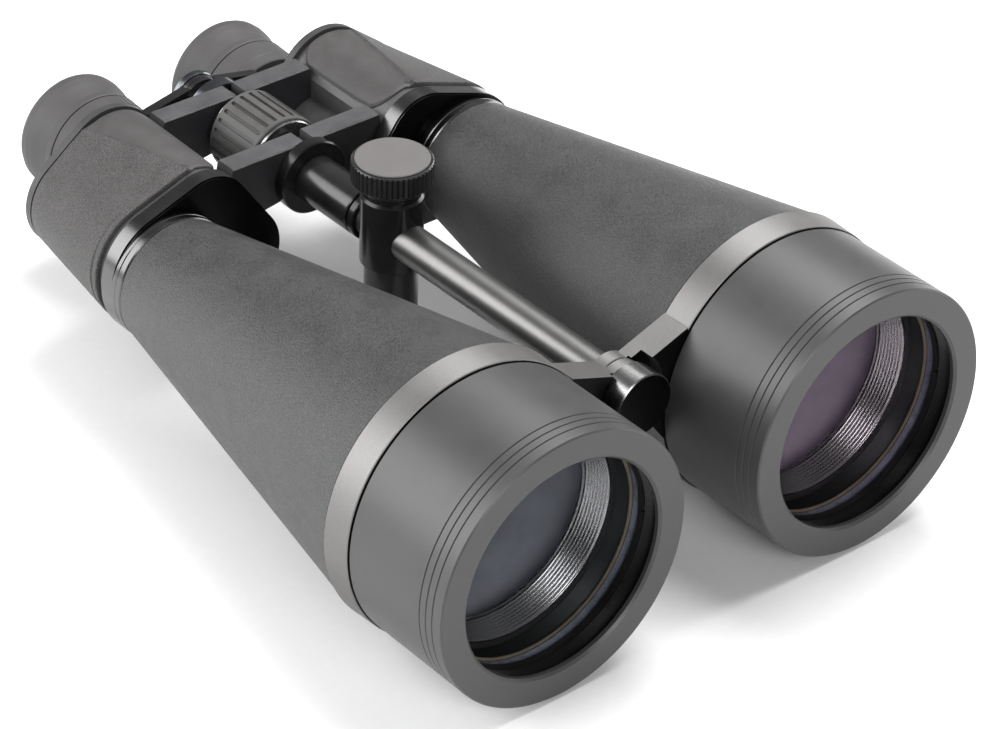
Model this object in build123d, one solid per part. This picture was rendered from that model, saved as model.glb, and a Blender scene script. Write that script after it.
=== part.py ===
"""Large astronomy binoculars with 80 mm objectives, built as an assembly.

Frame: +X is the user's right, +Y points forward out of the objectives and +Z is up.
The origin is on the ground, midway along the length and midway between the barrels.
"Depth" is the distance behind the front face of the objective cells.
Right-half pieces are drawn at positive X; left-half pieces are their mirror images,
apart from the interleaved hinge lugs.
"""
import os
from math import atan2, cos, hypot, pi, sin, sqrt

from build123d import *

# ---------------------------------------------------------------- driving dimensions (mm)
LENGTH = 322.0
FRONT_Y = LENGTH / 2
AXIS_HEIGHT = 51.1

BARREL_X = 66.0
EYE_X = 33.7
EYE_DROP = 3.5
HINGE_RISE = 13.8
HINGE_Z = AXIS_HEIGHT + HINGE_RISE
EYE_Z = AXIS_HEIGHT - EYE_DROP

CELL_R = 50.0
CELL_BACK = 46.4
LENS_R = 41.3
APERTURE_R = 39.5
BAND_FRONT, BAND_BACK = 46.7, 58.05
BAND_BORE_R = 46.6

CONE_FRONT, CONE_FRONT_R = 58.2, 50.6
CONE_BACK, CONE_BACK_R = 208.8, 23.85
SPIGOT_R = 21.8

PLATE_FRONT, PLATE_BACK = 213.9, 221.1
ARMOUR_FRONT, ARMOUR_BACK = 223.6, 273.5
COVER_FRONT, COVER_BACK = 273.7, 277.6
ARMOUR_SKIN = 1.6
ARMOUR_PROUD = 0.5
ARMOUR_EDGE_X = 33.2
CASTING_WALL = 1.8

# outline of the prism housing: three lobes (x, height above the barrel axis, radius)
FRONT_LOBES = ((65.4, 1.3, 24.2), (48.0, 14.8, 17.3), (35.8, -4.3, 18.4))
REAR_LOBES = ((63.9, 1.5, 18.9), (48.5, 12.0, 19.9), (35.8, -4.3, 18.4))
INNER_LOBE_X, INNER_LOBE_RISE, INNER_LOBE_R = 35.8, -4.3, 18.35

PRISM_OFFSET = 23.0
PRISM_HALF_WIDTH = 8.0
SHELF_FRONT, SHELF_BACK = 245.5, 248.5

FRONT_ARM, REAR_ARM = (221.5, 230.5), (262.7, 271.7)
ARM_TOP, ARM_BOTTOM = 12.7, -7.4
ARM_CHAMFER = 0.5
LUG_R = 9.8
AXLE_R = 6.5
LUG_BORE_R = 6.55

ROD_R = 7.0
PIN_R = 4.2
SLEEVE_R = 8.85
COLLAR_R = 14.1
WHEEL_FRONT, WHEEL_BACK = 233.4, 260.2
WHEEL_R = 15.6
WHEEL_SLOTS = 25
SPINDLE_R = 4.0
FOCUS_TRAVEL = 5.0

BRIDGE_FRONT, BRIDGE_BACK = 284.0, 288.0
DRAW_TUBE_R = 12.0
EYE_TUBE_R = 15.5
SHELL_FRONT, SHELL_BACK = 288.2, 303.2

POST_DEPTH = 172.7
POST_R, POST_SHANK_R = 11.2, 9.6
KNOB_TOP = 43.9
KNOB_R = 14.5


# ---------------------------------------------------------------- construction helpers
def polygon(points):
    """Face inside a closed run of points; a point repeated in a row counts once."""
    kept = [point for point, before in zip(points, [None] + points[:-1]) if point != before]
    return make_face(Polyline(*kept, close=True))


def turned(profile, x=0.0, z=HINGE_Z):
    """Body of revolution about an axis along Y, from (depth, radius) points."""
    section = polygon([(radius, FRONT_Y - depth) for depth, radius in profile])
    return Pos(x, 0, z) * revolve(section, Axis.Y, 360)


def ring(front, back, outer, inner, x=0.0, z=HINGE_Z, edge=0.3):
    """Plain ring along Y with its outer edges broken; inner 0 makes a disc."""
    profile = [
        (front, inner),
        (front, outer - edge),
        (front + edge, outer),
        (back - edge, outer),
        (back, outer - edge),
        (back, inner),
    ]
    return turned(profile, x, z)


def upright(low, high, outer, inner=0.0, edge=0.3, depth=POST_DEPTH):
    """Ring about the post's vertical axis; heights are above the barrel axis."""
    points = [
        (inner, low),
        (outer - edge, low),
        (outer, low + edge),
        (outer, high - edge),
        (outer - edge, high),
        (inner, high),
    ]
    section = Plane.XZ * polygon(points)
    return Pos(0, FRONT_Y - depth, AXIS_HEIGHT) * revolve(section, Axis.Z, 360)


def station(depth):
    """Drawing plane across the barrels, normal pointing to the rear, origin on the barrel height."""
    origin = (0, FRONT_Y - depth, AXIS_HEIGHT)
    return Plane(origin=origin, x_dir=(1, 0, 0), z_dir=(0, -1, 0))


def slab(face, front, back):
    """Face drawn across the barrels, thickened from one depth to another."""
    return extrude(station(front) * face, amount=back - front)


def lobed(lobes, grow=0.0):
    """Face inside a taut band drawn round three circles."""
    circles = [Pos(x, z) * Circle(radius + grow) for x, z, radius in lobes]
    return make_hull([circle.edge() for circle in circles])


def housing_solid(front, back, grow):
    """Tapering body of the prism housing, cut off square at two depths."""
    span = ARMOUR_BACK - ARMOUR_FRONT

    def lobes_at(depth):
        share = (depth - ARMOUR_FRONT) / span
        pairs = zip(FRONT_LOBES, REAR_LOBES)
        return [[a + (b - a) * share for a, b in zip(first, last)] for first, last in pairs]

    ends = (PLATE_BACK - 3, COVER_FRONT + 3)
    whole = loft([station(depth) * lobed(lobes_at(depth), grow) for depth in ends], ruled=True)
    return whole & slab(Pos(45, 0) * Rectangle(160, 160), front, back)


def beyond(x, front, back, inward=False):
    """Block that keeps everything on the outer (or inner) side of an upright plane at x."""
    centre = x - 60 if inward else x + 60
    return slab(Pos(centre, 0) * Rectangle(120, 160), front, back)


def mirrored(solid):
    return mirror(solid, about=Plane.YZ)


def sagitta(radius, edge_radius, edge_sag):
    """Depth of a spherical surface below its apex, at a radius."""
    if abs(edge_sag) < 1e-6:
        return 0.0
    curve = (edge_radius**2 + edge_sag**2) / (2 * abs(edge_sag))
    depth = curve - sqrt(curve**2 - radius**2)
    return depth if edge_sag > 0 else -depth


def lens(front, back, radius, front_sag, back_sag, x, z):
    """Lens whose edge runs from front to back; a positive sag bulges outwards."""
    def point(r, depth):
        return (r, FRONT_Y - depth)

    half = radius / 2
    front_apex = point(0, front - front_sag)
    front_mid = point(half, front - front_sag + sagitta(half, radius, front_sag))
    back_apex = point(0, back + back_sag)
    back_mid = point(half, back + back_sag - sagitta(half, radius, back_sag))
    front_edge = point(radius, front)
    back_edge = point(radius, back)
    outline = [
        ThreePointArc(front_apex, front_mid, front_edge),
        Line(front_edge, back_edge),
        ThreePointArc(back_edge, back_mid, back_apex),
        Line(back_apex, front_apex),
    ]
    return Pos(x, 0, z) * revolve(make_face(outline), Axis.Y, 360)


# ---------------------------------------------------------------- objective group
def objective_cell():
    """Front cell with a lip, a lens seat, glare threads and a rear socket."""
    profile = [(0.0, 40.4), (0.9, APERTURE_R), (2.4, APERTURE_R), (3.2, 41.6)]
    profile += [(23.9, 41.6), (23.9, 39.6), (26.0, 39.6)]
    for k in range(8):
        depth = 26.0 + 1.2 * k
        profile += [(depth + 0.6, 40.8), (depth + 1.2, 40.0)]
    profile += [(35.8, 43.8), (36.8, 43.8), (36.8, 46.55), (CELL_BACK, 46.55)]
    profile += [(CELL_BACK, 49.5), (45.9, CELL_R)]
    for groove in (10.8, 7.7, 4.6):
        profile += [(groove + 0.3, CELL_R), (groove, CELL_R - 0.5), (groove - 0.3, CELL_R)]
    profile += [(0.5, CELL_R), (0.0, 49.5)]
    return turned(profile, BARREL_X, AXIS_HEIGHT)


def crown_lens():
    return lens(11.8, 15.2, LENS_R, 4.0, 4.2, BARREL_X, AXIS_HEIGHT)


def flint_lens():
    return lens(15.95, 23.8, LENS_R, -4.2, 0.7, BARREL_X, AXIS_HEIGHT)


def lens_spacer():
    return ring(15.45, 15.95, LENS_R, 40.3, BARREL_X, AXIS_HEIGHT, edge=0.05)


def retaining_ring():
    """Threaded ring in front of the lens, with two spanner slots."""
    body = ring(9.4, 11.5, 41.6, 40.2, BARREL_X, AXIS_HEIGHT, edge=0.2)
    slot = Pos(BARREL_X, FRONT_Y - 9.6, AXIS_HEIGHT) * Box(2 * 43, 1.4, 2.0)
    return body - slot


# ---------------------------------------------------------------- front hinge
def hinge_band(middle):
    """Clamp band round the barrel with a web to its knuckle of the front hinge.

    middle True gives the knuckle next to the cap; the other one sits behind it.
    """
    band = turned(
        [
            (BAND_FRONT, BAND_BORE_R),
            (BAND_FRONT, 50.3),
            (BAND_FRONT + 0.3, 50.6),
            (BAND_BACK - 0.3, 51.1),
            (BAND_BACK, 50.8),
            (BAND_BACK, BAND_BORE_R),
        ],
        BARREL_X,
        AXIS_HEIGHT,
    )
    web_points = [
        (24.7, 30.2),
        (3.5, 22.6),
        (0.6, 13.8),
        (3.3, 3.0),
        (4.8, -2.5),
        (10.5, -2.5),
        (16.9, -11.0),
        (32.0, 0.0),
    ]
    web = slab(polygon(web_points), BAND_FRONT, BAND_BACK)
    web -= ring(BAND_FRONT - 1, BAND_BACK + 1, 49.0, 0, BARREL_X, AXIS_HEIGHT)
    if middle:
        web -= ring(BAND_FRONT - 1, 49.0, 12.4, 0, edge=0)
        web -= ring(53.5, BAND_BACK + 1, 10.9, 0, edge=0)
        knuckle = ring(49.0, 53.5, 10.2, 0)
    else:
        web -= ring(BAND_FRONT - 1, 52.3, 14.5, 0, edge=0)
        web -= ring(52.0, 53.8, 10.9, 0, edge=0)
        knuckle = ring(53.8, 59.2, 10.2, 0)
    return band + web + knuckle - ring(38, 61, PIN_R + 0.05, 0, edge=0)


def front_hinge_cap():
    """Black-faced nut that closes the front hinge."""
    return turned(
        [
            (38.8, 0),
            (38.8, 11.1),
            (39.2, 11.5),
            (40.4, 11.5),
            (40.6, 11.3),
            (48.4, 11.3),
            (48.7, 11.0),
            (48.7, PIN_R),
            (41.4, PIN_R),
            (41.4, 0),
        ]
    )


# ---------------------------------------------------------------- barrel
def barrel_cone():
    """Tapering barrel with a spigot at each end."""
    slope = (CONE_FRONT_R - CONE_BACK_R) / (CONE_BACK - CONE_FRONT)

    def outside(depth):
        return CONE_FRONT_R - slope * (depth - CONE_FRONT)

    profile = [(37.0, 44.2), (37.0, 46.2), (37.3, 46.5), (CONE_FRONT, 46.5)]
    profile += [(CONE_FRONT, CONE_FRONT_R - 0.4), (CONE_FRONT + 0.4, CONE_FRONT_R - 0.1)]
    profile += [(CONE_BACK, CONE_BACK_R), (209.3, CONE_BACK_R - 0.5), (209.3, SPIGOT_R)]
    profile += [(PLATE_BACK - 0.6, SPIGOT_R), (PLATE_BACK - 0.6, 19.6), (200.0, 19.6)]
    profile += [(198.0, outside(198.0) - 2.4), (70.0, outside(70.0) - 2.4), (66.0, 44.2)]
    return turned(profile, BARREL_X, AXIS_HEIGHT)


# ---------------------------------------------------------------- prism housing
def front_plate():
    """Polished plate and collar that carry the barrel."""
    plate = slab(lobed(FRONT_LOBES, -0.6), PLATE_FRONT, PLATE_FRONT + 0.6)
    plate += slab(lobed(FRONT_LOBES), PLATE_FRONT + 0.6, PLATE_BACK - 0.6)
    plate += slab(lobed(FRONT_LOBES, -0.6), PLATE_BACK - 0.6, PLATE_BACK)
    collar = turned(
        [
            (209.4, SPIGOT_R),
            (209.4, 23.5),
            (209.8, 23.9),
            (212.0, 23.9),
            (212.3, 23.6),
            (212.6, 23.9),
            (220.0, 23.9),
            (220.0, SPIGOT_R),
        ],
        BARREL_X,
        AXIS_HEIGHT,
    )
    return plate + collar - ring(205, 225, SPIGOT_R, 0, BARREL_X, AXIS_HEIGHT, edge=0)


def bridge_half(front, back, inner_x, lug_first):
    """Hinge arm: a full-depth block with a half-depth lug round the axle."""
    middle = (front + back) / 2
    mine = (front, middle - 0.15) if lug_first else (middle + 0.15, back)
    other = (middle - 0.15, back + 1) if lug_first else (front - 1, middle + 0.15)
    low = HINGE_RISE + ARM_BOTTOM
    high = HINGE_RISE + ARM_TOP
    outline = [
        (inner_x, low + 2.0),
        (inner_x, high),
        (32.2, high),
        (32.9, high - 3.0),
        (33.4, high - 8.0),
        (35.0, -6.0),
        (22.0, low - 2.0),
        (9.0, low),
    ]
    block = slab(polygon(outline), front, back)
    block = chamfer(block.edges().filter_by(Axis.X).group_by(Axis.Z)[-1], ARM_CHAMFER)
    block -= ring(other[0], other[1], LUG_R + 0.45, 0, edge=0)
    block += ring(mine[0], mine[1], LUG_R, 0)
    return block - ring(front - 1, back + 1, LUG_BORE_R, 0, edge=0)


def prism_housing(lugs_first, inner_x):
    """Hollow casting with the front and rear hinge arms.

    Under the armour it follows the skin; on the hinge side it is an upright wall that
    meets the bare round bulge over the eyepiece.
    """
    span = (PLATE_BACK, COVER_FRONT)
    body = housing_solid(*span, -ARMOUR_SKIN) & beyond(ARMOUR_EDGE_X - 0.2, *span)
    bulge = ring(*span, INNER_LOBE_R, 0, INNER_LOBE_X, AXIS_HEIGHT + INNER_LOBE_RISE, edge=0)
    body += bulge & beyond(ARMOUR_EDGE_X, *span, inward=True)
    for front, back in (FRONT_ARM, REAR_ARM):
        body += bridge_half(front, back, inner_x, lugs_first)
    body -= housing_cavity(PLATE_BACK + 2.4, COVER_FRONT + 1)
    body -= ring(PLATE_BACK - 1, PLATE_BACK + 4, 21.0, 0, BARREL_X, AXIS_HEIGHT, edge=0)
    return body


def housing_cavity(front, back):
    """The hollow of the casting between two depths."""
    hollow = housing_solid(front, back, -ARMOUR_SKIN - CASTING_WALL)
    hollow &= beyond(ARMOUR_EDGE_X - 0.2 + CASTING_WALL, front, back)
    radius = INNER_LOBE_R - ARMOUR_SKIN - CASTING_WALL + 0.25
    centre_z = AXIS_HEIGHT + INNER_LOBE_RISE
    return hollow + ring(front, back, radius, 0, INNER_LOBE_X, centre_z, edge=0)


def armour():
    """Rubber skin, open on the hinge side, with rounded corners at the opening."""
    skin = housing_solid(ARMOUR_FRONT, ARMOUR_BACK, ARMOUR_PROUD)
    skin -= housing_solid(ARMOUR_FRONT - 1, ARMOUR_BACK + 1, -ARMOUR_SKIN)
    length = ARMOUR_BACK - ARMOUR_FRONT
    width = 70.0
    centre = (ARMOUR_EDGE_X + width / 2, FRONT_Y - (ARMOUR_FRONT + ARMOUR_BACK) / 2)
    keep = Pos(centre[0], centre[1]) * RectangleRounded(width, length + 0.02, 5.0)
    keep += Pos(centre[0] + 10, centre[1]) * Rectangle(width - 10, length + 0.02)
    return skin & extrude(keep, amount=120)


def porro_prism(centre_x, centre_z, heading, face_depth, apex_side):
    """Right-angle prism with a blunt apex; its long face is square to the barrels."""
    half = 18.4
    tall = 17.0
    points = [
        (-half, 0.0),
        (half, 0.0),
        (half, 1.2),
        (half + 1.2 - tall, tall),
        (-half - 1.2 + tall, tall),
        (-half, 1.2),
    ]
    across = (cos(heading), 0, sin(heading))
    origin = (centre_x, FRONT_Y - face_depth, AXIS_HEIGHT + centre_z)
    normal = Vector(*across).cross(Vector(0, -apex_side, 0))
    plane = Plane(origin=origin, x_dir=across, z_dir=normal)
    return extrude(plane * polygon(points), amount=PRISM_HALF_WIDTH, both=True)


def prism_layout():
    """Centres and headings of the two prisms, which step the beam across and down."""
    dx = EYE_X - BARREL_X
    dz = -EYE_DROP
    total = hypot(dx, dz)
    along = (dx / total, dz / total)
    square = (-along[1] * -1, along[0] * -1)
    reach = PRISM_OFFSET / sqrt(2)
    half_way = (BARREL_X + along[0] * reach + square[0] * reach, along[1] * reach + square[1] * reach)
    first = ((BARREL_X + half_way[0]) / 2, half_way[1] / 2)
    second = ((half_way[0] + EYE_X) / 2, (half_way[1] - EYE_DROP) / 2)
    return half_way, first, second


def heading_of(start, end):
    return atan2(end[1] - start[1], end[0] - start[0])


def rear_prism():
    """First prism on the light's way, behind the shelf."""
    half_way, first, _ = prism_layout()
    heading = heading_of((BARREL_X, 0), half_way)
    return porro_prism(first[0], first[1], heading, SHELF_BACK, 1)


def front_prism():
    """Second prism on the light's way, in front of the shelf."""
    half_way, _, second = prism_layout()
    heading = heading_of(half_way, (EYE_X, -EYE_DROP))
    return porro_prism(second[0], second[1], heading, SHELF_FRONT, -1)


def prism_shelf():
    """Plate across the casting that both prisms sit on, with three light holes."""
    half_way, _, _ = prism_layout()
    shelf = housing_cavity(SHELF_FRONT, SHELF_BACK)
    for x, z in ((BARREL_X, 0), half_way, (EYE_X, -EYE_DROP)):
        shelf -= ring(SHELF_FRONT - 1, SHELF_BACK + 1, 7.8, 0, x, AXIS_HEIGHT + z, edge=0)
    return shelf


def prism_clips():
    """Spring straps that hold each prism down, one solid per prism."""
    half_way, first, second = prism_layout()
    clips = []
    inner = PRISM_HALF_WIDTH + 0.3
    outer = inner + 0.9
    strap = [(-outer, 0.0), (-outer, 17.9), (outer, 17.9), (outer, 0.0)]
    strap += [(inner, 0.0), (inner, 17.0), (-inner, 17.0), (-inner, 0.0)]
    layout = (
        (first, heading_of((BARREL_X, 0), half_way), 0.0, SHELF_BACK, 1),
        (second, heading_of(half_way, (EYE_X, -EYE_DROP)), -6.0, SHELF_FRONT, -1),
    )
    for centre, heading, shift, face, side in layout:
        square = heading + pi / 2
        across = (cos(square), 0, sin(square))
        centre_x = centre[0] + shift * cos(heading)
        centre_z = centre[1] + shift * sin(heading)
        origin = (centre_x, FRONT_Y - face, AXIS_HEIGHT + centre_z)
        normal = Vector(*across).cross(Vector(0, -side, 0))
        plane = Plane(origin=origin, x_dir=across, z_dir=normal)
        clips.append(extrude(plane * polygon(strap), amount=1.6, both=True))
    return clips


def rear_cover():
    """Back plate with the guide bush for the eyepiece tube."""
    cover = slab(lobed(REAR_LOBES, 0.4), COVER_FRONT, COVER_BACK - 1.0)
    cover += slab(lobed(REAR_LOBES, -0.5), COVER_BACK - 1.0, COVER_BACK)
    guide = ring(268.0, COVER_FRONT + 1, 14.8, 0, INNER_LOBE_X, AXIS_HEIGHT + INNER_LOBE_RISE)
    return cover + guide - ring(266, 280, DRAW_TUBE_R + 0.05, 0, EYE_X, EYE_Z, edge=0)


# ---------------------------------------------------------------- eyepiece group
def eyepiece_tube():
    """Draw tube that slides in the cover, with a wider body behind its shoulder."""
    profile = [(262.0, 10.8), (262.0, DRAW_TUBE_R - 0.3), (262.3, DRAW_TUBE_R)]
    profile += [(283.0, DRAW_TUBE_R), (283.0, EYE_TUBE_R - 0.3), (283.3, EYE_TUBE_R)]
    profile += [(SHELL_BACK - 2.0, EYE_TUBE_R), (SHELL_BACK - 2.0, 14.2), (294.7, 14.2)]
    profile += [(294.7, 10.8)]
    return turned(profile, EYE_X, EYE_Z)


def field_lens():
    return lens(270.0, 273.6, 10.8, 1.6, 0.8, EYE_X, EYE_Z)


def field_stop():
    return ring(284.4, 285.4, 10.8, 8.6, EYE_X, EYE_Z, edge=0.1)


def eye_lens():
    return lens(295.3, 299.2, 14.2, 1.2, 1.6, EYE_X, EYE_Z)


def eyepiece_shell(dioptre):
    """Outer shell; the right one is relieved to carry the dioptre ring."""
    outer = [(SHELL_FRONT, 20.2), (SHELL_FRONT + 0.4, 20.6), (293.4, 20.7), (293.9, 20.9)]
    if dioptre:
        outer = [(SHELL_FRONT, 19.6), (288.6, 19.6), (288.6, 18.4)]
        outer += [(296.6, 18.4), (296.6, 20.7), (296.9, 21.0)]
    outer += [(SHELL_BACK - 0.4, 21.3), (SHELL_BACK, 20.9)]
    inner = [(SHELL_BACK, 15.0), (SHELL_BACK - 2.0, 15.0), (SHELL_BACK - 2.0, EYE_TUBE_R)]
    inner += [(SHELL_FRONT, EYE_TUBE_R)]
    return turned(outer + inner, EYE_X, EYE_Z)


def dioptre_ring():
    """Ring turned to even out the user's two eyes, finely ribbed."""
    body = ring(288.9, 296.3, 20.9, 18.7, EYE_X, EYE_Z, edge=0.4)
    rib = Box(0.5, 5.6, 0.9)
    centre = Pos(EYE_X, FRONT_Y - 292.2, EYE_Z)
    for k in range(48):
        body -= centre * Rot(0, 7.5 * k, 0) * Pos(20.9, 0, 0) * rib
    return body


def eyecup():
    """Soft flared rubber cup."""
    points = [
        (SHELL_BACK + 0.3, 21.2),
        (SHELL_BACK + 0.9, 21.4),
        (307.0, 21.1),
        (310.5, 21.6),
        (314.0, 22.4),
        (317.0, 22.8),
        (319.6, 22.6),
        (321.3, 21.8),
        (LENGTH, 20.7),
        (321.6, 19.9),
        (320.4, 19.4),
        (312.0, 18.6),
        (305.6, 18.0),
        (305.6, 15.2),
        (SHELL_BACK + 0.3, 15.2),
    ]
    return turned(points, EYE_X, EYE_Z)


def bridge_arm(lug_first):
    """Arm of the eyepiece bridge: a ring round the draw tube and a half-depth centre lug."""
    middle = (BRIDGE_FRONT + BRIDGE_BACK) / 2
    mine = (BRIDGE_FRONT, middle - 0.1) if lug_first else (middle + 0.1, BRIDGE_BACK)
    other = (middle - 0.1, BRIDGE_BACK + 1) if lug_first else (BRIDGE_FRONT - 1, middle + 0.1)
    outline = [(3.0, 21.2), (6.0, 20.6), (25.0, 16.6), (37.0, 10.0), (30.0, 0.0), (8.0, 7.0), (4.0, 8.0)]
    arm = slab(polygon(outline), BRIDGE_FRONT, BRIDGE_BACK)
    arm -= ring(other[0], other[1], 9.3, 0, edge=0)
    arm += ring(mine[0], mine[1], 8.9, 0, edge=0.2)
    arm -= ring(BRIDGE_FRONT - 1, BRIDGE_BACK + 1, SPINDLE_R + 0.05, 0, edge=0)
    arm += ring(BRIDGE_FRONT, BRIDGE_BACK, 18.4, 0, EYE_X, EYE_Z)
    return arm - ring(BRIDGE_FRONT - 1, BRIDGE_BACK + 1, EYE_TUBE_R, 0, EYE_X, EYE_Z, edge=0)


# ---------------------------------------------------------------- centre group
def centre_rod():
    """Bright rod between the hinges, with a pin at the front and a spigot at the rear."""
    return turned(
        [
            (41.6, 0),
            (41.6, PIN_R - 0.3),
            (41.9, PIN_R),
            (59.5, PIN_R),
            (59.5, ROD_R - 0.4),
            (59.9, ROD_R),
            (184.2, ROD_R),
            (184.2, 5.0),
            (205.0, 5.0),
            (205.0, 0),
        ]
    )


def hinge_axle():
    """Tube the rear lugs and the wheel turn on, slotted for the drive pin."""
    tube = turned(
        [
            (217.0, 0),
            (217.0, AXLE_R),
            (275.9, AXLE_R),
            (275.9, SPINDLE_R + 0.06),
            (224.0, SPINDLE_R + 0.06),
            (224.0, 0),
        ]
    )
    slot = Pos(0, FRONT_Y - 246.8, HINGE_Z) * Box(2 * AXLE_R + 2, 2 * FOCUS_TRAVEL + 3.4, 2.6)
    return tube - slot


def focus_wheel():
    """Metal wheel core with a groove inside for the drive pin."""
    core = turned(
        [
            (WHEEL_FRONT, AXLE_R + 0.06),
            (WHEEL_FRONT, 14.2),
            (WHEEL_FRONT + 0.4, 14.6),
            (WHEEL_FRONT + 1.2, 14.6),
            (WHEEL_FRONT + 1.2, 13.0),
            (WHEEL_BACK - 1.2, 13.0),
            (WHEEL_BACK - 1.2, 14.6),
            (WHEEL_BACK - 0.4, 14.6),
            (WHEEL_BACK, 14.2),
            (WHEEL_BACK, AXLE_R + 0.06),
        ]
    )
    return core - ring(240.4, 253.2, 9.0, 0, edge=0)


def focus_grip():
    """Rubber sleeve with long round-ended slots."""
    grip = ring(WHEEL_FRONT + 1.2, WHEEL_BACK - 1.2, WHEEL_R, 13.0, edge=0.4)
    middle = FRONT_Y - (WHEEL_FRONT + WHEEL_BACK) / 2
    slot = Pos(0, 0, 14.6) * extrude(Rot(0, 0, 90) * SlotOverall(21.4, 1.5), amount=3)
    for k in range(WHEEL_SLOTS):
        turn = 90 - 51.5 - 360 / WHEEL_SLOTS * k
        grip -= Pos(0, middle, HINGE_Z) * Rot(0, turn, 0) * slot
    return grip


def focus_spindle():
    """Sliding spindle that carries the eyepiece bridge."""
    body = turned(
        [
            (240.0, 0),
            (240.0, SPINDLE_R),
            (281.2, SPINDLE_R),
            (281.2, 5.6),
            (283.9, 5.6),
            (283.9, SPINDLE_R),
            (288.2, SPINDLE_R),
            (288.2, 0),
        ]
    )
    return body - Pos(0, FRONT_Y - 246.8, HINGE_Z) * Rot(0, 90, 0) * Cylinder(1.2, 20)


def drive_pin():
    return Pos(0, FRONT_Y - 246.8, HINGE_Z) * Rot(0, 90, 0) * Cylinder(1.2, 16.4)


def spindle_cap():
    """Bright round nut that closes the bridge hub."""
    cap = turned(
        [(288.2, 0), (288.2, 9.1), (288.6, 9.5), (290.6, 9.5), (291.2, 8.9), (291.2, 7.2), (290.4, 6.6), (290.4, 0)]
    )
    return cap - Pos(0, FRONT_Y - 290.4, HINGE_Z) * Box(10, 1.6, 1.4)


# ---------------------------------------------------------------- tripod post
def tripod_post():
    """Post that slides on the rod, with a tapped foot and a tapped top."""
    ground = -AXIS_HEIGHT
    post = upright(2.0, 29.8, POST_R, edge=0.9)
    post += upright(-44.0, 3.0, POST_SHANK_R, edge=0.1)
    post += upright(ground, -43.5, 12.5, edge=0.8)
    neck = upright(29.0, 31.4, 9.9, edge=0.2)
    post += neck
    post -= ring(POST_DEPTH - 20, POST_DEPTH + 20, ROD_R + 0.05, 0, edge=0)
    post -= upright(15.0, 40.0, 3.05, edge=0)
    return post - upright(ground - 1, ground + 14.0, 3.175, edge=0)


def clamp_knob():
    """Knurled knob and its clamping screw."""
    knob = upright(31.8, 35.2, 10.6, edge=0.3)
    knob += upright(35.0, KNOB_TOP - 0.7, KNOB_R, edge=0.5)
    knob += upright(HINGE_RISE + ROD_R + 0.3, 36.0, 3.0, edge=0.3)
    groove = Pos(KNOB_R + 0.25, 0, 39.3) * Rot(0, 0, 45) * Box(1.1, 1.1, 7.4)
    centre = Pos(0, FRONT_Y - POST_DEPTH, AXIS_HEIGHT)
    for k in range(48):
        knob -= centre * Rot(0, 0, 7.5 * k) * groove
    return knob - upright(KNOB_TOP - 0.8, KNOB_TOP, 13.2, edge=0)


def knob_disc():
    return upright(KNOB_TOP - 0.8, KNOB_TOP, 13.2, edge=0.25)


# ---------------------------------------------------------------- assembly
def build():
    right = {
        "objective_cell": objective_cell(),
        "front_lens_element": crown_lens(),
        "rear_lens_element": flint_lens(),
        "lens_spacer": lens_spacer(),
        "lens_retaining_ring": retaining_ring(),
        "barrel": barrel_cone(),
        "front_plate": front_plate(),
        "armour": armour(),
        "front_prism": front_prism(),
        "rear_prism": rear_prism(),
        "prism_shelf": prism_shelf(),
        "prism_clips": prism_clips(),
        "rear_cover": rear_cover(),
        "eyepiece_tube": eyepiece_tube(),
        "field_lens": field_lens(),
        "field_stop": field_stop(),
        "eye_lens": eye_lens(),
        "eyecup": eyecup(),
    }
    nodes = {}
    for name, shape in right.items():
        nodes["right_" + name] = shape
        if isinstance(shape, list):
            nodes["left_" + name] = [mirrored(piece) for piece in shape]
        else:
            nodes["left_" + name] = mirrored(shape)

    nodes["right_hinge_band"] = hinge_band(middle=True)
    nodes["left_hinge_band"] = mirrored(hinge_band(middle=False))
    nodes["right_prism_housing"] = prism_housing(lugs_first=True, inner_x=0.8)
    nodes["left_prism_housing"] = mirrored(prism_housing(lugs_first=False, inner_x=3.6))
    nodes["right_bridge_arm"] = bridge_arm(lug_first=True)
    nodes["left_bridge_arm"] = mirrored(bridge_arm(lug_first=False))
    nodes["right_eyepiece_shell"] = eyepiece_shell(dioptre=True)
    nodes["left_eyepiece_shell"] = mirrored(eyepiece_shell(dioptre=False))
    nodes["right_dioptre_ring"] = dioptre_ring()

    nodes["front_hinge_cap"] = front_hinge_cap()
    nodes["centre_rod"] = centre_rod()
    nodes["stop_ring"] = ring(184.2, 187.2, SLEEVE_R, 5.0)
    nodes["rear_sleeve"] = ring(188.2, 216.8, SLEEVE_R, 5.0, edge=0.4)
    nodes["hinge_collar"] = turned(
        [(216.8, AXLE_R), (216.8, 13.6), (217.3, COLLAR_R), (221.1, COLLAR_R), (221.1, AXLE_R)]
    )
    nodes["hinge_axle"] = hinge_axle()
    nodes["rear_collar"] = turned(
        [
            (272.0, AXLE_R),
            (272.0, 12.4),
            (277.4, 12.4),
            (278.2, 11.6),
            (278.2, AXLE_R),
        ]
    )
    nodes["focus_wheel"] = focus_wheel()
    nodes["focus_grip"] = focus_grip()
    nodes["focus_spindle"] = focus_spindle()
    nodes["drive_pin"] = drive_pin()
    nodes["spindle_cap"] = spindle_cap()
    nodes["tripod_post"] = tripod_post()
    nodes["clamp_knob"] = clamp_knob()
    nodes["knob_disc"] = knob_disc()
    return nodes


def main():
    os.makedirs("parts", exist_ok=True)
    for name, shape in build().items():
        if isinstance(shape, list):
            shape = Compound(children=[piece.solid() for piece in shape])
        export_step(shape, os.path.join("parts", name + ".step"))


main()
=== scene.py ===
import math
import bmesh
import bpy
from mathutils import Matrix, Vector


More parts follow.
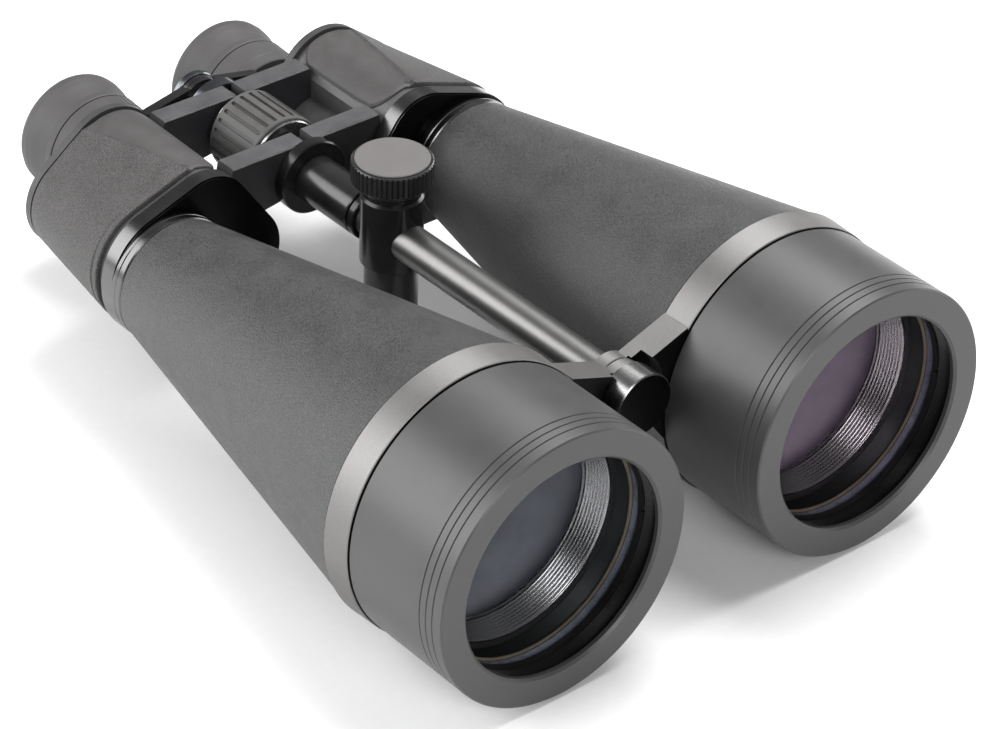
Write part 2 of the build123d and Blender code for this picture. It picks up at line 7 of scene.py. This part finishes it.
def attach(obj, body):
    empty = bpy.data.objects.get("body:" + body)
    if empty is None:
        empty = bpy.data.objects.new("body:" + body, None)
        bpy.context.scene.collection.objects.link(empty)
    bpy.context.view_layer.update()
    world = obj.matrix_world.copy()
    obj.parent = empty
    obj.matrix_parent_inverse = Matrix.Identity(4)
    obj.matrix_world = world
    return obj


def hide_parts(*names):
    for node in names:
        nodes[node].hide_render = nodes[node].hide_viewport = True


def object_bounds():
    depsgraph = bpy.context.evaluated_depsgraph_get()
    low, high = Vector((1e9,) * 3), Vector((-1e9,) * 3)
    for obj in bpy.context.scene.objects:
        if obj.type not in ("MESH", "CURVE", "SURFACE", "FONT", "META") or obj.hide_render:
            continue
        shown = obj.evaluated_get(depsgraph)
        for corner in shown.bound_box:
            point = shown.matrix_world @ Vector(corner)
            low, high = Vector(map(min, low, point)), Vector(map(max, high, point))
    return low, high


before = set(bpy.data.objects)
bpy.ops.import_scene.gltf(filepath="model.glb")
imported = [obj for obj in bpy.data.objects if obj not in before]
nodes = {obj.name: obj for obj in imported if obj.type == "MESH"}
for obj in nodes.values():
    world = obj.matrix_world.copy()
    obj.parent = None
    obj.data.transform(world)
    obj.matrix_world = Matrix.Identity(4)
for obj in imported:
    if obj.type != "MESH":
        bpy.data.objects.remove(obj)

cad_box = [list(map(float, p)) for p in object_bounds()]
MM = 0.001

# ---------------------------------------------------------------- frame values (mm, as in the CAD)
FRONT = 161.0
AXIS_Z = 51.1
BARREL_X = 66.0
ARMOUR_FRONT, ARMOUR_BACK, ARMOUR_EDGE_X = 223.6, 273.5, 33.3
CONE_FRONT, CONE_FRONT_R = 58.2, 50.6
CONE_BACK, CONE_BACK_R = 208.8, 23.85
COVER_BACK = 277.6
FRONT_LOBES = ((65.4, 1.3, 24.2), (48.0, 14.8, 17.3), (35.8, -4.3, 18.4))
REAR_LOBES = ((63.9, 1.5, 18.9), (48.5, 12.0, 19.9), (35.8, -4.3, 18.4))

GLASS_INDEX = 1.45
INNER_BLACK = (0.006, 0.006, 0.007, 1)
# painted shade: black put on faces square to the front, standing in for the dark barrels they
# mirror
PAINTED_FRONT_SHADE = (0.017, 0.016, 0.018, 1)


# ---------------------------------------------------------------- material helpers
class Tree:
    """Short way to write a node tree."""

    def __init__(self, name):
        self.mat = bpy.data.materials.new(name)
        self.mat.use_nodes = True
        self.tree = self.mat.node_tree
        self.tree.nodes.clear()
        self.out = self.add("ShaderNodeOutputMaterial")

    def add(self, kind, **values):
        node = self.tree.nodes.new(kind)
        for key, value in values.items():
            setattr(node, key, value)
        return node

    def link(self, a, b):
        self.tree.links.new(a, b)

    def put(self, socket, value):
        if isinstance(value, bpy.types.NodeSocket):
            self.link(value, socket)
        else:
            socket.default_value = value

    def math(self, op, a, b=0.0, c=0.0):
        node = self.add("ShaderNodeMath", operation=op)
        for socket, value in zip(node.inputs, (a, b, c)):
            self.put(socket, value)
        return node.outputs[0]

    def coords(self, scale=(1, 1, 1)):
        base = self.add("ShaderNodeTexCoord").outputs["Object"]
        mapping = self.add("ShaderNodeMapping")
        mapping.inputs["Scale"].default_value = scale
        self.link(base, mapping.inputs["Vector"])
        return mapping.outputs["Vector"]

    def noise(self, scale, detail=3.0, rough=0.55, stretch=(1, 1, 1)):
        node = self.add("ShaderNodeTexNoise")
        self.link(self.coords(stretch), node.inputs["Vector"])
        node.inputs["Scale"].default_value = scale
        node.inputs["Detail"].default_value = detail
        node.inputs["Roughness"].default_value = rough
        return node.outputs["Fac"]

    def spread(self, value, low, high):
        node = self.add("ShaderNodeMapRange")
        self.link(value, node.inputs["Value"])
        node.inputs["From Min"].default_value = 0.3
        node.inputs["From Max"].default_value = 0.7
        node.inputs["To Min"].default_value = low
        node.inputs["To Max"].default_value = high
        return node.outputs["Result"]

    def ramp(self, value, stops):
        node = self.add("ShaderNodeValToRGB")
        self.link(value, node.inputs["Fac"])
        band = node.color_ramp
        while len(band.elements) < len(stops):
            band.elements.new(0.5)
        for element, (place, colour) in zip(band.elements, stops):
            element.position = place
            element.color = (*colour, 1)
        return node.outputs["Color"]

    def mix(self, factor, a, b):
        node = self.add("ShaderNodeMix", data_type="RGBA")
        self.put(node.inputs[0], factor)
        self.put(node.inputs[6], a)
        self.put(node.inputs[7], b)
        return node.outputs[2]

    def bump(self, height, distance, strength=1.0, under=None):
        node = self.add("ShaderNodeBump")
        node.inputs["Strength"].default_value = strength
        node.inputs["Distance"].default_value = distance
        self.link(height, node.inputs["Height"])
        if under is not None:
            self.link(under, node.inputs["Normal"])
        return node.outputs["Normal"]

    def principled(self, **values):
        node = self.add("ShaderNodeBsdfPrincipled")
        for key, value in values.items():
            self.put(node.inputs[key.replace("_", " ")], value)
        self.link(node.outputs[0], self.out.inputs["Surface"])


def grey(value, tint=(1.0, 1.0, 1.0)):
    return tuple(value * t for t in tint)


def coated(name, base, rough, tint=(1, 1, 1), grain=2600.0, depth=0.05, vary=0.12, swing=0.06,
           metallic=0.0, specular=0.5, coat=0.0, turned=None, inner=None, speckle=0.4,
           front_shade=False, masked=False):
    """Paint, anodising, metal or rubber: grain, patches of tone and worn gloss, at real scale.

    grain is in cycles per metre and depth in mm; vary is the share by which the tone changes and
    swing the change of roughness; speckle is the grain's part in the tone, patches have the rest.
    turned adds fine lathe lines round the barrels' axes; inner = (slope, radius at y=0, depth)
    blackens what lies inside the barrel's wall; front_shade paints shade: it makes faces square to
    the front black, where they only mirror the dark barrels; masked keeps the grain to where the
    mesh's "grain" value is high.
    """
    t = Tree(name)
    patches = t.noise(90.0, 4.0, 0.6)
    fine = t.noise(grain, 2.0, 0.5)
    if masked:
        share = t.add("ShaderNodeAttribute", attribute_name="grain").outputs["Fac"]
        share = t.math("MULTIPLY_ADD", share, 0.85, 0.15)
        fine = t.math("MULTIPLY_ADD", t.math("SUBTRACT", fine, 0.5), share, 0.5)
    broad = t.math("MULTIPLY", patches, 1 - speckle)
    tone = t.math("ADD", broad, t.math("MULTIPLY", fine, speckle))
    low, high = grey(base * (1 - vary), tint), grey(base * (1 + vary), tint)
    colour = t.ramp(tone, ((0.38, low), (0.62, high)))
    if inner:
        slope, start, wall = inner
        place = t.add("ShaderNodeSeparateXYZ")
        t.link(t.coords(), place.inputs[0])
        across = t.math("SUBTRACT", t.math("ABSOLUTE", place.outputs[0]), BARREL_X * MM)
        height = t.math("SUBTRACT", place.outputs[2], AXIS_Z * MM)
        across_2, height_2 = (t.math("MULTIPLY", part, part) for part in (across, height))
        radius = t.math("SQRT", t.math("ADD", across_2, height_2))
        limit = t.math("MULTIPLY_ADD", place.outputs[1], slope, start)
        inside = t.math("LESS_THAN", radius, t.math("SUBTRACT", limit, wall))
        colour = t.mix(inside, colour, INNER_BLACK)
    # painted shade: faces square to the front are made black, in place of the dark barrels they
    # mirror
    if front_shade:
        facing = t.add("ShaderNodeSeparateXYZ")
        t.link(t.add("ShaderNodeTexCoord").outputs["Normal"], facing.inputs[0])
        front_shade_mask = t.math("GREATER_THAN", facing.outputs[1], 0.93)
        colour = t.mix(front_shade_mask, colour, PAINTED_FRONT_SHADE)
    normal = t.bump(fine, depth * MM)
    if turned:
        lines = t.noise(1.0, 3.0, 0.6, (12.0, turned, 12.0))
        normal = t.bump(lines, 0.012 * MM, 0.7, normal)
    t.principled(
        Base_Color=colour,
        Roughness=t.spread(patches, rough - swing, rough + swing),
        Metallic=metallic,
        Specular_IOR_Level=specular,
        Coat_Weight=coat,
        Coat_Roughness=0.08,
        Normal=normal,
    )
    return t.mat


def glass(name, reflect, body):
    """Coated optical glass: clear, with a faint reflection that grows at a grazing angle.

    reflect is the colour of the coating's reflection and body that of the light let through.
    """
    t = Tree(name)
    clear = t.add("ShaderNodeBsdfTransparent")
    haze = t.noise(60.0, 3.0)
    t.link(t.ramp(haze, ((0.3, grey(1.0, body)), (0.7, grey(0.97, body)))), clear.inputs["Color"])
    gloss = t.add("ShaderNodeBsdfGlossy")
    gloss.inputs["Color"].default_value = (*reflect, 1)
    t.link(t.spread(haze, 0.05, 0.08), gloss.inputs["Roughness"])
    fresnel = t.add("ShaderNodeFresnel")
    # the index is turned over on the way out, since the light is not bent by the clear shader
    behind = t.add("ShaderNodeNewGeometry").outputs["Backfacing"]
    index = t.math("MULTIPLY_ADD", behind, 1 / GLASS_INDEX - GLASS_INDEX, GLASS_INDEX)
    t.link(index, fresnel.inputs["IOR"])
    share = t.math("ADD", t.math("MULTIPLY", fresnel.outputs[0], 0.8), 0.07)
    blend = t.add("ShaderNodeMixShader")
    t.link(share, blend.inputs[0])
    t.link(clear.outputs[0], blend.inputs[1])
    t.link(gloss.outputs[0], blend.inputs[2])
    t.link(blend.outputs[0], t.out.inputs["Surface"])
    return t.mat


CONE_SLOPE = (CONE_FRONT_R - CONE_BACK_R) / (CONE_BACK - CONE_FRONT)
CONE_START = (CONE_BACK_R + CONE_SLOPE * (CONE_BACK - FRONT)) * MM

MATERIALS = {
    "barrel": coated("powder_coat", 0.036, 0.45, (1.0, 1.0, 1.03), grain=2000, depth=0.25,
                     vary=0.55, speckle=0.85, inner=(CONE_SLOPE, CONE_START, 0.0014)),
    "cell": coated("satin_cell", 0.045, 0.4, (1.0, 0.985, 0.99), grain=5200, depth=0.012, vary=0.05,
                   swing=0.03, turned=2500),
    # band, plate, casting and cap get painted shade (black) on their front faces through
    # front_shade
    "band": coated("gunmetal_band", 0.185, 0.5, (1.0, 0.985, 0.965), grain=3400, depth=0.02,
                   vary=0.1, swing=0.03, metallic=1.0, speckle=0.7, front_shade=True),
    "plate": coated("polished_plate", 0.12, 0.24, (1.0, 1.0, 1.01), grain=4000, depth=0.0006,
                    vary=0.05, swing=0.04, metallic=1.0, front_shade=True),
    "casting": coated("satin_casting", 0.055, 0.36, (1.0, 1.0, 1.04), grain=2200, depth=0.1,
                      vary=0.2, front_shade=True),
    "armour": coated("armour_rubber", 0.05, 0.56, (1.0, 0.96, 0.95), grain=2000, depth=0.3,
                     vary=0.5, speckle=0.8, swing=0.05, specular=0.4, masked=True),
    "eyecup": coated("eyecup_rubber", 0.055, 0.6, (1.0, 0.96, 0.955), grain=4200, depth=0.03,
                     vary=0.1, specular=0.4),
    "grip": coated("grip_rubber", 0.06, 0.5, (1.0, 0.97, 0.95), grain=3600, depth=0.03, vary=0.14),
    "rod": coated("black_chrome", 0.17, 0.38, (1.0, 0.995, 0.975), grain=3600, depth=0.001,
                  vary=0.06, swing=0.005, metallic=1.0),
    "cap": coated("satin_cap", 0.24, 0.26, (1.0, 0.995, 0.985), grain=3600, depth=0.001,
                  vary=0.06, swing=0.02, metallic=1.0, front_shade=True),
    "cover": coated("cover_paint", 0.035, 0.5, (1.0, 0.98, 0.98), grain=3000, depth=0.06, vary=0.2),
    "gloss": coated("gloss_black", 0.008, 0.2, (1.0, 0.97, 1.0), grain=5000, depth=0.003, vary=0.2,
                    swing=0.03, specular=0.38),
    "satin_black": coated("satin_black", 0.009, 0.24, (1.0, 0.98, 1.0), grain=4600, depth=0.004,
                          vary=0.2, swing=0.02, specular=0.65),
    "sleeve": coated("blue_grey_satin", 0.16, 0.24, (0.92, 0.97, 1.06), grain=4600, depth=0.006,
                     vary=0.08, metallic=1.0, turned=3000),
    "knob": coated("knurled_black", 0.012, 0.28, (1.0, 0.98, 1.0), grain=4200, depth=0.02,
                   vary=0.15),
    "knob_face": coated("matt_cap", 0.1, 0.6, (1.0, 0.95, 0.93), grain=4600, depth=0.03, vary=0.07,
                        turned=2600),
    "steel": coated("turned_steel", 0.36, 0.24, (1.0, 1.0, 1.01), grain=5000, depth=0.004,
                    vary=0.08, metallic=1.0, turned=5000),
    "spacer": coated("brass_spacer", 0.22, 0.5, (1.0, 0.82, 0.6), grain=3000, depth=0.01, vary=0.2),
    "thread": coated("thread_metal", 0.4, 0.24, (1.0, 0.97, 0.97), grain=5000, depth=0.001,
                     vary=0.05, swing=0.01, metallic=1.0),
    "thread_black": coated("thread_black", 0.006, 0.3, grain=5000, depth=0.004, vary=0.15,
                           swing=0.08, specular=0.25),
    "frosted": coated("frosted_glass_edge", 0.4, 0.25, (0.85, 0.92, 1.1), grain=1500, depth=0.02,
                      vary=0.3, swing=0.1, coat=0.6),
    "lining_right": coated("flocking_grey", 0.62, 0.85, (0.97, 0.98, 1.06), grain=3000,
                           depth=0.02, vary=0.1, specular=0.15),
    "lining_left": coated("flocking_violet", 0.78, 0.85, (1.0, 0.9, 1.03), grain=3000,
                          depth=0.02, vary=0.1, specular=0.15),
    "inner": coated("inner_black", 0.008, 0.45, grain=3000, depth=0.02, vary=0.3),
    "glass_right": glass("coating_green", (0.016, 0.018, 0.02), (0.96, 0.97, 0.98)),
    "glass_left": glass("coating_violet", (0.03, 0.025, 0.034), (0.96, 0.945, 0.965)),
    "prism": glass("prism_glass", (0.3, 0.33, 0.36), (0.8, 0.86, 0.86)),
}

# finish of each CAD node, the same on both sides where the name has no side
BY_NODE = {
    "objective_cell": "cell", "front_lens_element": "glass", "rear_lens_element": "glass",
    "lens_spacer": "spacer", "lens_retaining_ring": "inner", "hinge_band": "band",
    "barrel": "barrel", "front_plate": "plate", "prism_housing": "casting", "armour": "armour",
    "front_prism": "prism", "rear_prism": "prism", "prism_shelf": "inner", "prism_clips": "steel",
    "rear_cover": "cover", "eyepiece_tube": "casting", "field_lens": "glass",
    "field_stop": "inner", "eye_lens": "glass", "eyepiece_shell": "eyecup",
    "bridge_arm": "satin_black", "eyecup": "eyecup", "dioptre_ring": "grip",
    "centre_rod": "rod", "front_hinge_cap": "cap", "stop_ring": "gloss",
    "rear_sleeve": "satin_black", "hinge_collar": "gloss", "hinge_axle": "steel",
    "rear_collar": "sleeve", "focus_wheel": "steel", "focus_grip": "grip",
    "focus_spindle": "steel", "drive_pin": "steel", "spindle_cap": "sleeve",
    "tripod_post": "gloss", "clamp_knob": "knob", "knob_disc": "knob_face",
}


def dress_nodes():
    """Give each CAD node its finish."""
    for name, obj in nodes.items():
        side, _, rest = name.partition("_")
        key = BY_NODE.get(name) or BY_NODE[rest]
        if key == "glass":
            key = "glass_left" if side == "left" else "glass_right"
        obj.data.materials.clear()
        obj.data.materials.append(MATERIALS[key])


# ---------------------------------------------------------------- mesh helpers
def add_mesh(name, verts, faces, material, body, replaced=(), grain=None):
    """New piece from vertices in mm: placed, smoothed, given its finish and its body."""
    mesh = bpy.data.meshes.new(name)
    mesh.from_pydata([tuple(c * MM for c in v) for v in verts], [], faces)
    mesh.validate()
    if grain:
        mesh.attributes.new("grain", "FLOAT", "POINT").data.foreach_set("value", grain)
    work = bmesh.new()
    work.from_mesh(mesh)
    bmesh.ops.remove_doubles(work, verts=work.verts, dist=1e-7)
    bmesh.ops.recalc_face_normals(work, faces=work.faces)
    work.to_mesh(mesh)
    work.free()
    mesh.shade_smooth()
    mesh.set_sharp_from_angle(angle=math.radians(35))
    mesh.materials.append(MATERIALS[material])
    obj = bpy.data.objects.new(name, mesh)
    bpy.context.scene.collection.objects.link(obj)
    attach(obj, body)
    if replaced:
        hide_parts(*replaced)


def outline(share, steps=720):
    """Taut band round the housing's three lobes: (x, height, normal angle) going over the top."""
    lobes = [[a + (b - a) * share for a, b in zip(f, r)] for f, r in zip(FRONT_LOBES, REAR_LOBES)]
    points = []
    for k in range(steps + 1):
        angle = math.radians(170 - 340 * k / steps)
        nx, nz = math.cos(angle), math.sin(angle)
        x, z, r = max(lobes, key=lambda c: c[0] * nx + c[1] * nz + c[2])
        points.append((x + r * nx, z + r * nz, math.degrees(angle)))
    return points


def along(points, count):
    """The same line at even spacing, as many points as asked."""
    reach = [0.0]
    for a, b in zip(points, points[1:]):
        reach.append(reach[-1] + math.hypot(b[0] - a[0], b[1] - a[1]))
    result, k = [], 0
    for n in range(count):
        want = reach[-1] * n / (count - 1)
        while k < len(points) - 2 and reach[k + 1] < want:
            k += 1
        span = reach[k + 1] - reach[k]
        f = (want - reach[k]) / span if span > 1e-9 else 0.0
        result.append(tuple(a + (b - a) * f for a, b in zip(points[k], points[k + 1])))
    return result


def smooth(value):
    value = min(max(value, 0.0), 1.0)
    return value * value * (3 - 2 * value)


def ridge_angle(share):
    """Where the raised panel ends, as a normal angle, from the front (0) to the back (1)."""
    return 85.2 + (55.6 - 85.2) * share


def armour(side):
    """Rubber skin: raised outer panel, lower smooth panel on the hinge side, rounded rims."""
    front, back = ARMOUR_FRONT, ARMOUR_BACK
    rim_r, corner_r, side_rim = 1.2, 8.5, 4
    proud, thick = 0.5, 1.55
    rims = (0, 0.12, 0.35, 0.7, rim_r)
    depths = [front + d for d in rims]
    depths += [front + rim_r + (back - front - 2 * rim_r) * k / 40 for k in range(1, 40)]
    depths += [back - d for d in reversed(rims)]
    count = 300
    outer, inner, grain = [], [], []
    for s in depths:
        share = (s - front) / (back - front)
        end = min(s - front, back - s)
        inset = corner_r - min(end, corner_r)
        corner = corner_r - math.sqrt(max(0.0, corner_r ** 2 - inset ** 2))
        line = along([p for p in outline(share) if p[0] > ARMOUR_EDGE_X + corner], count)
        rim = min(end, rim_r)
        rim_fall = 0.55 * (1 - math.sqrt(max(0.0, 1 - (1 - rim / rim_r) ** 2)))
        for k, (x, z, angle) in enumerate(line):
            past = (angle - ridge_angle(share)) / 1.4
            panel = smooth(past + 0.5)
            grain.append(1 - panel)
            groove = 0.22 * smooth(end / 4) * math.exp(-((past + 0.95) / 0.6) ** 2)
            lift = proud - (1.0 - 0.4 * share) * panel + groove
            lift -= rim_fall
            lift -= 0.6 * (1 - smooth(min(k, count - 1 - k) / side_rim))
            draw_in = 0.9 * smooth(past / 7)
            depth = front + draw_in + (s - front) * (1 - 2 * draw_in / (back - front))
            a = math.radians(angle)
            for grid, offset in ((outer, lift), (inner, -thick)):
                across, height = x + offset * math.cos(a), z + offset * math.sin(a)
                grid.append((across * side, FRONT - depth, AXIS_Z + height))
    rows = len(depths)
    base = len(outer)
    faces = []
    for i in range(rows - 1):
        for k in range(count - 1):
            a, b = i * count + k, i * count + k + 1
            c, d = a + count, b + count
            faces.append((a, b, d, c))
            faces.append((base + a, base + c, base + d, base + b))
    for i in range(rows - 1):
        a, c = i * count, (i + 1) * count
        faces.append((a, c, base + c, base + a))
        a, c = a + count - 1, c + count - 1
        faces.append((a, base + a, base + c, c))
    for k in range(count - 1):
        faces.append((k, base + k, base + k + 1, k + 1))
        a = (rows - 1) * count + k
        faces.append((a, a + 1, base + a + 1, base + a))
    if side < 0:
        faces = [tuple(reversed(f)) for f in faces]
    label = "right" if side > 0 else "left"
    add_mesh(f"{label}_armour_skin", outer + inner, faces, "armour", f"{label}_half",
             [f"{label}_armour"], grain + grain)


def turned(name, profile, side, material, slot, steps=160, replaced=()):
    """Closed body of revolution about a barrel's axis, from (depth, radius) points."""
    label = "right" if side > 0 else "left"
    verts, faces = [], []
    for i in range(steps):
        a = 2 * math.pi * i / steps
        for s, r in profile:
            verts.append((side * (BARREL_X + r * math.cos(a)), FRONT - s, AXIS_Z + r * math.sin(a)))
    n = len(profile)
    for i in range(steps):
        j = (i + 1) % steps
        for k in range(n):
            m = (k + 1) % n
            face = (i * n + k, i * n + m, j * n + m, j * n + k)
            faces.append(face if side > 0 else tuple(reversed(face)))
    swapped = [f"{label}_{node}" for node in replaced]
    add_mesh(f"{label}_{name}", verts, faces, material, f"{label}_half", swapped)


def dome(edge_depth, radius, rise, count):
    """Points of a spherical face from its rim to its apex; rise is how far the apex stands off."""
    curve = (radius ** 2 + rise ** 2) / (2 * abs(rise))
    sign = 1 if rise > 0 else -1
    points = []
    for k in range(count + 1):
        r = radius * (1 - k / count)
        fall = curve - math.sqrt(curve ** 2 - r ** 2)
        points.append((edge_depth + rise - sign * fall, r))
    return points


def objective_details(side):
    """Cemented lens, threads, frosted glass edge, glare tube and flocked lining of the cell."""
    lens = dome(11.8, 41.3, -4.0, 24) + dome(23.8, 41.3, 0.7, 12)[::-1]
    turned("objective_lens", lens, side, "glass_right" if side > 0 else "glass_left", "lens_glass",
           96, replaced=["front_lens_element", "rear_lens_element"])

    front, back, pitch = 3.4, 9.3, 0.84
    threads = [(back, 41.75), (front, 41.75)]
    for k in range(7):
        threads += [(front + pitch * k, 41.5), (front + pitch / 2 + pitch * k, 40.9)]
    threads += [(back, 41.4)]
    turned("front_threads", threads, side, "thread_black", "satin_black")

    edge = [(12.2, 41.34), (15.2, 41.34), (15.2, 41.56), (12.2, 41.56)]
    turned("frosted_edge", edge, side, "frosted", "lens_glass")

    front, back, pitch = 16.1, 23.7, 0.37
    ribs = [(back, 41.58), (front, 41.58)]
    for k in range(20):
        ribs += [(front + pitch * k, 41.56), (front + 0.28 + pitch * k, 41.33)]
    ribs += [(back, 41.5)]
    turned("edge_ribs", ribs, side, "inner", "satin_black", 200)

    front, back, mouth_r = 24.1, 35.6, 39.3
    pitch, fall, rib_height = 1.25, 0.16, 0.72
    tube = [(back, 39.4), (front, 39.55), (front, mouth_r)]
    for k in range(65):
        depth = front + 0.2 + pitch * k / 8
        wave = rib_height / 2 * (1 - math.cos(math.pi * k / 4))
        tube.append((depth, mouth_r - fall * (depth - front) - wave))
    tube += [(34.8, 36.6), (back, 36.6)]
    turned("glare_tube", tube, side, "thread", "satin_black", 200)

    lining = [(37.6, 44.0), (65.8, 44.0), (70.0, 45.9), (197.5, 23.2)]
    lining += [(197.5, 22.6), (70.0, 45.4), (66.0, 43.6), (37.6, 43.6)]
    turned("barrel_lining", lining, side, "lining_right" if side > 0 else "lining_left",
           "inner_aluminium")


def cover_screws(side):
    """Three socket screws that hold each rear cover."""
    label = "right" if side > 0 else "left"
    corners, head_r, socket_r = 24, 1.9, 0.95
    head, top, socket = COVER_BACK + 0.15, COVER_BACK + 0.3, COVER_BACK - 0.3
    rings = ((head_r, COVER_BACK - 0.1), (head_r, head), (head_r - 0.2, top))
    rings += ((socket_r, top), (socket_r, socket))
    verts, faces = [], []
    for x, z in ((74.5, 5.5), (50.0, 27.5), (54.0, -13.5)):
        base = len(verts)
        for radius, depth in rings:
            for k in range(corners):
                a = 2 * math.pi * k / corners
                r = radius
                if radius == socket_r:
                    sector = (a % (math.pi / 3)) - math.pi / 6
                    r = radius * math.cos(math.pi / 6) / math.cos(sector)
                across, height = x + r * math.cos(a), z + r * math.sin(a)
                verts.append((side * across, FRONT - depth, AXIS_Z + height))
        for i in range(len(rings) - 1):
            for k in range(corners):
                m, row = (k + 1) % corners, base + i * corners
                faces.append((row + k, row + m, row + corners + m, row + corners + k))
        last = base + (len(rings) - 1) * corners
        faces.append(tuple(base + k for k in range(corners)))
        faces.append(tuple(last + k for k in reversed(range(corners))))
    add_mesh(f"{label}_cover_screws", verts, faces, "satin_black", f"{label}_half")


# ---------------------------------------------------------------- floor, light and camera
def studio():
    """Pale paper floor, even surroundings and four soft panels."""
    t = Tree("floor_paper")
    speck = t.noise(300.0, 3.0)
    t.principled(
        Base_Color=t.ramp(speck, ((0.3, grey(0.88)), (0.7, grey(0.9)))),
        Roughness=0.9,
        Specular_IOR_Level=0.2,
    )
    mesh = bpy.data.meshes.new("floor")
    size = 6.0
    corners = [(-size, -size, 0), (size, -size, 0), (size, size, 0), (-size, size, 0)]
    mesh.from_pydata(corners, [], [(0, 1, 2, 3)])
    mesh.materials.append(t.mat)
    floor = bpy.data.objects.new("floor", mesh)
    floor.location.z = cad_box[0][2] - 0.0003
    bpy.context.scene.collection.objects.link(floor)

    world = bpy.data.worlds.new("studio")
    bpy.context.scene.world = world
    world.use_nodes = True
    back = world.node_tree.nodes["Background"]
    back.inputs["Color"].default_value = (1.0, 1.0, 1.0, 1.0)
    back.inputs["Strength"].default_value = 0.25

    for name, place, target, size, power in (
        ("key", (0.85, -0.4, 0.52), (0.03, 0.06, 0.05), (1.2, 0.85), 16.0),
        ("overhead", (-0.5, -0.1, 1.15), (0, 0.05, 0), (1.0, 0.8), 23.0),
        ("far_side", (-1.3, 0.0, 0.4), (0, 0, 0.05), (0.9, 0.5), 7.0),
        ("front", (0.55, 1.6, 0.95), (0, 0.1, 0.05), (0.9, 0.6), 14.0),
    ):
        data = bpy.data.lights.new(name, "AREA")
        data.shape = "RECTANGLE"
        data.size, data.size_y = size
        data.energy = power
        light = bpy.data.objects.new(name, data)
        light.location = place
        aim = Vector(target) - Vector(place)
        light.rotation_euler = aim.to_track_quat("-Z", "Y").to_euler()
        bpy.context.scene.collection.objects.link(light)


def camera():
    """Long lens, high in front of the right objective."""
    right = Vector((-0.7724896893701838, 0.6344494106186446, 0.027085516100156082))
    down = Vector((0.33851828893372293, 0.44750842697854903, -0.8277327925366793))
    forward = Vector((-0.5372755790785039, -0.6302461052230623, -0.5604683746448313))
    data = bpy.data.cameras.new("camera")
    data.sensor_fit = "HORIZONTAL"
    data.sensor_width = 36.0
    data.lens = 143.2972513808829
    data.clip_end = 20
    cam = bpy.data.objects.new("camera", data)
    place = Matrix((right, -down, -forward)).transposed().to_4x4()
    place.translation = Vector((0.7303914659, 0.9055066537, 0.8033501485))
    cam.matrix_world = place
    bpy.context.scene.collection.objects.link(cam)
    bpy.context.scene.camera = cam


dress_nodes()
for half in (1, -1):
    armour(half)
    objective_details(half)
    cover_screws(half)
studio()
camera()
bpy.context.scene.view_settings.view_transform = "Standard"
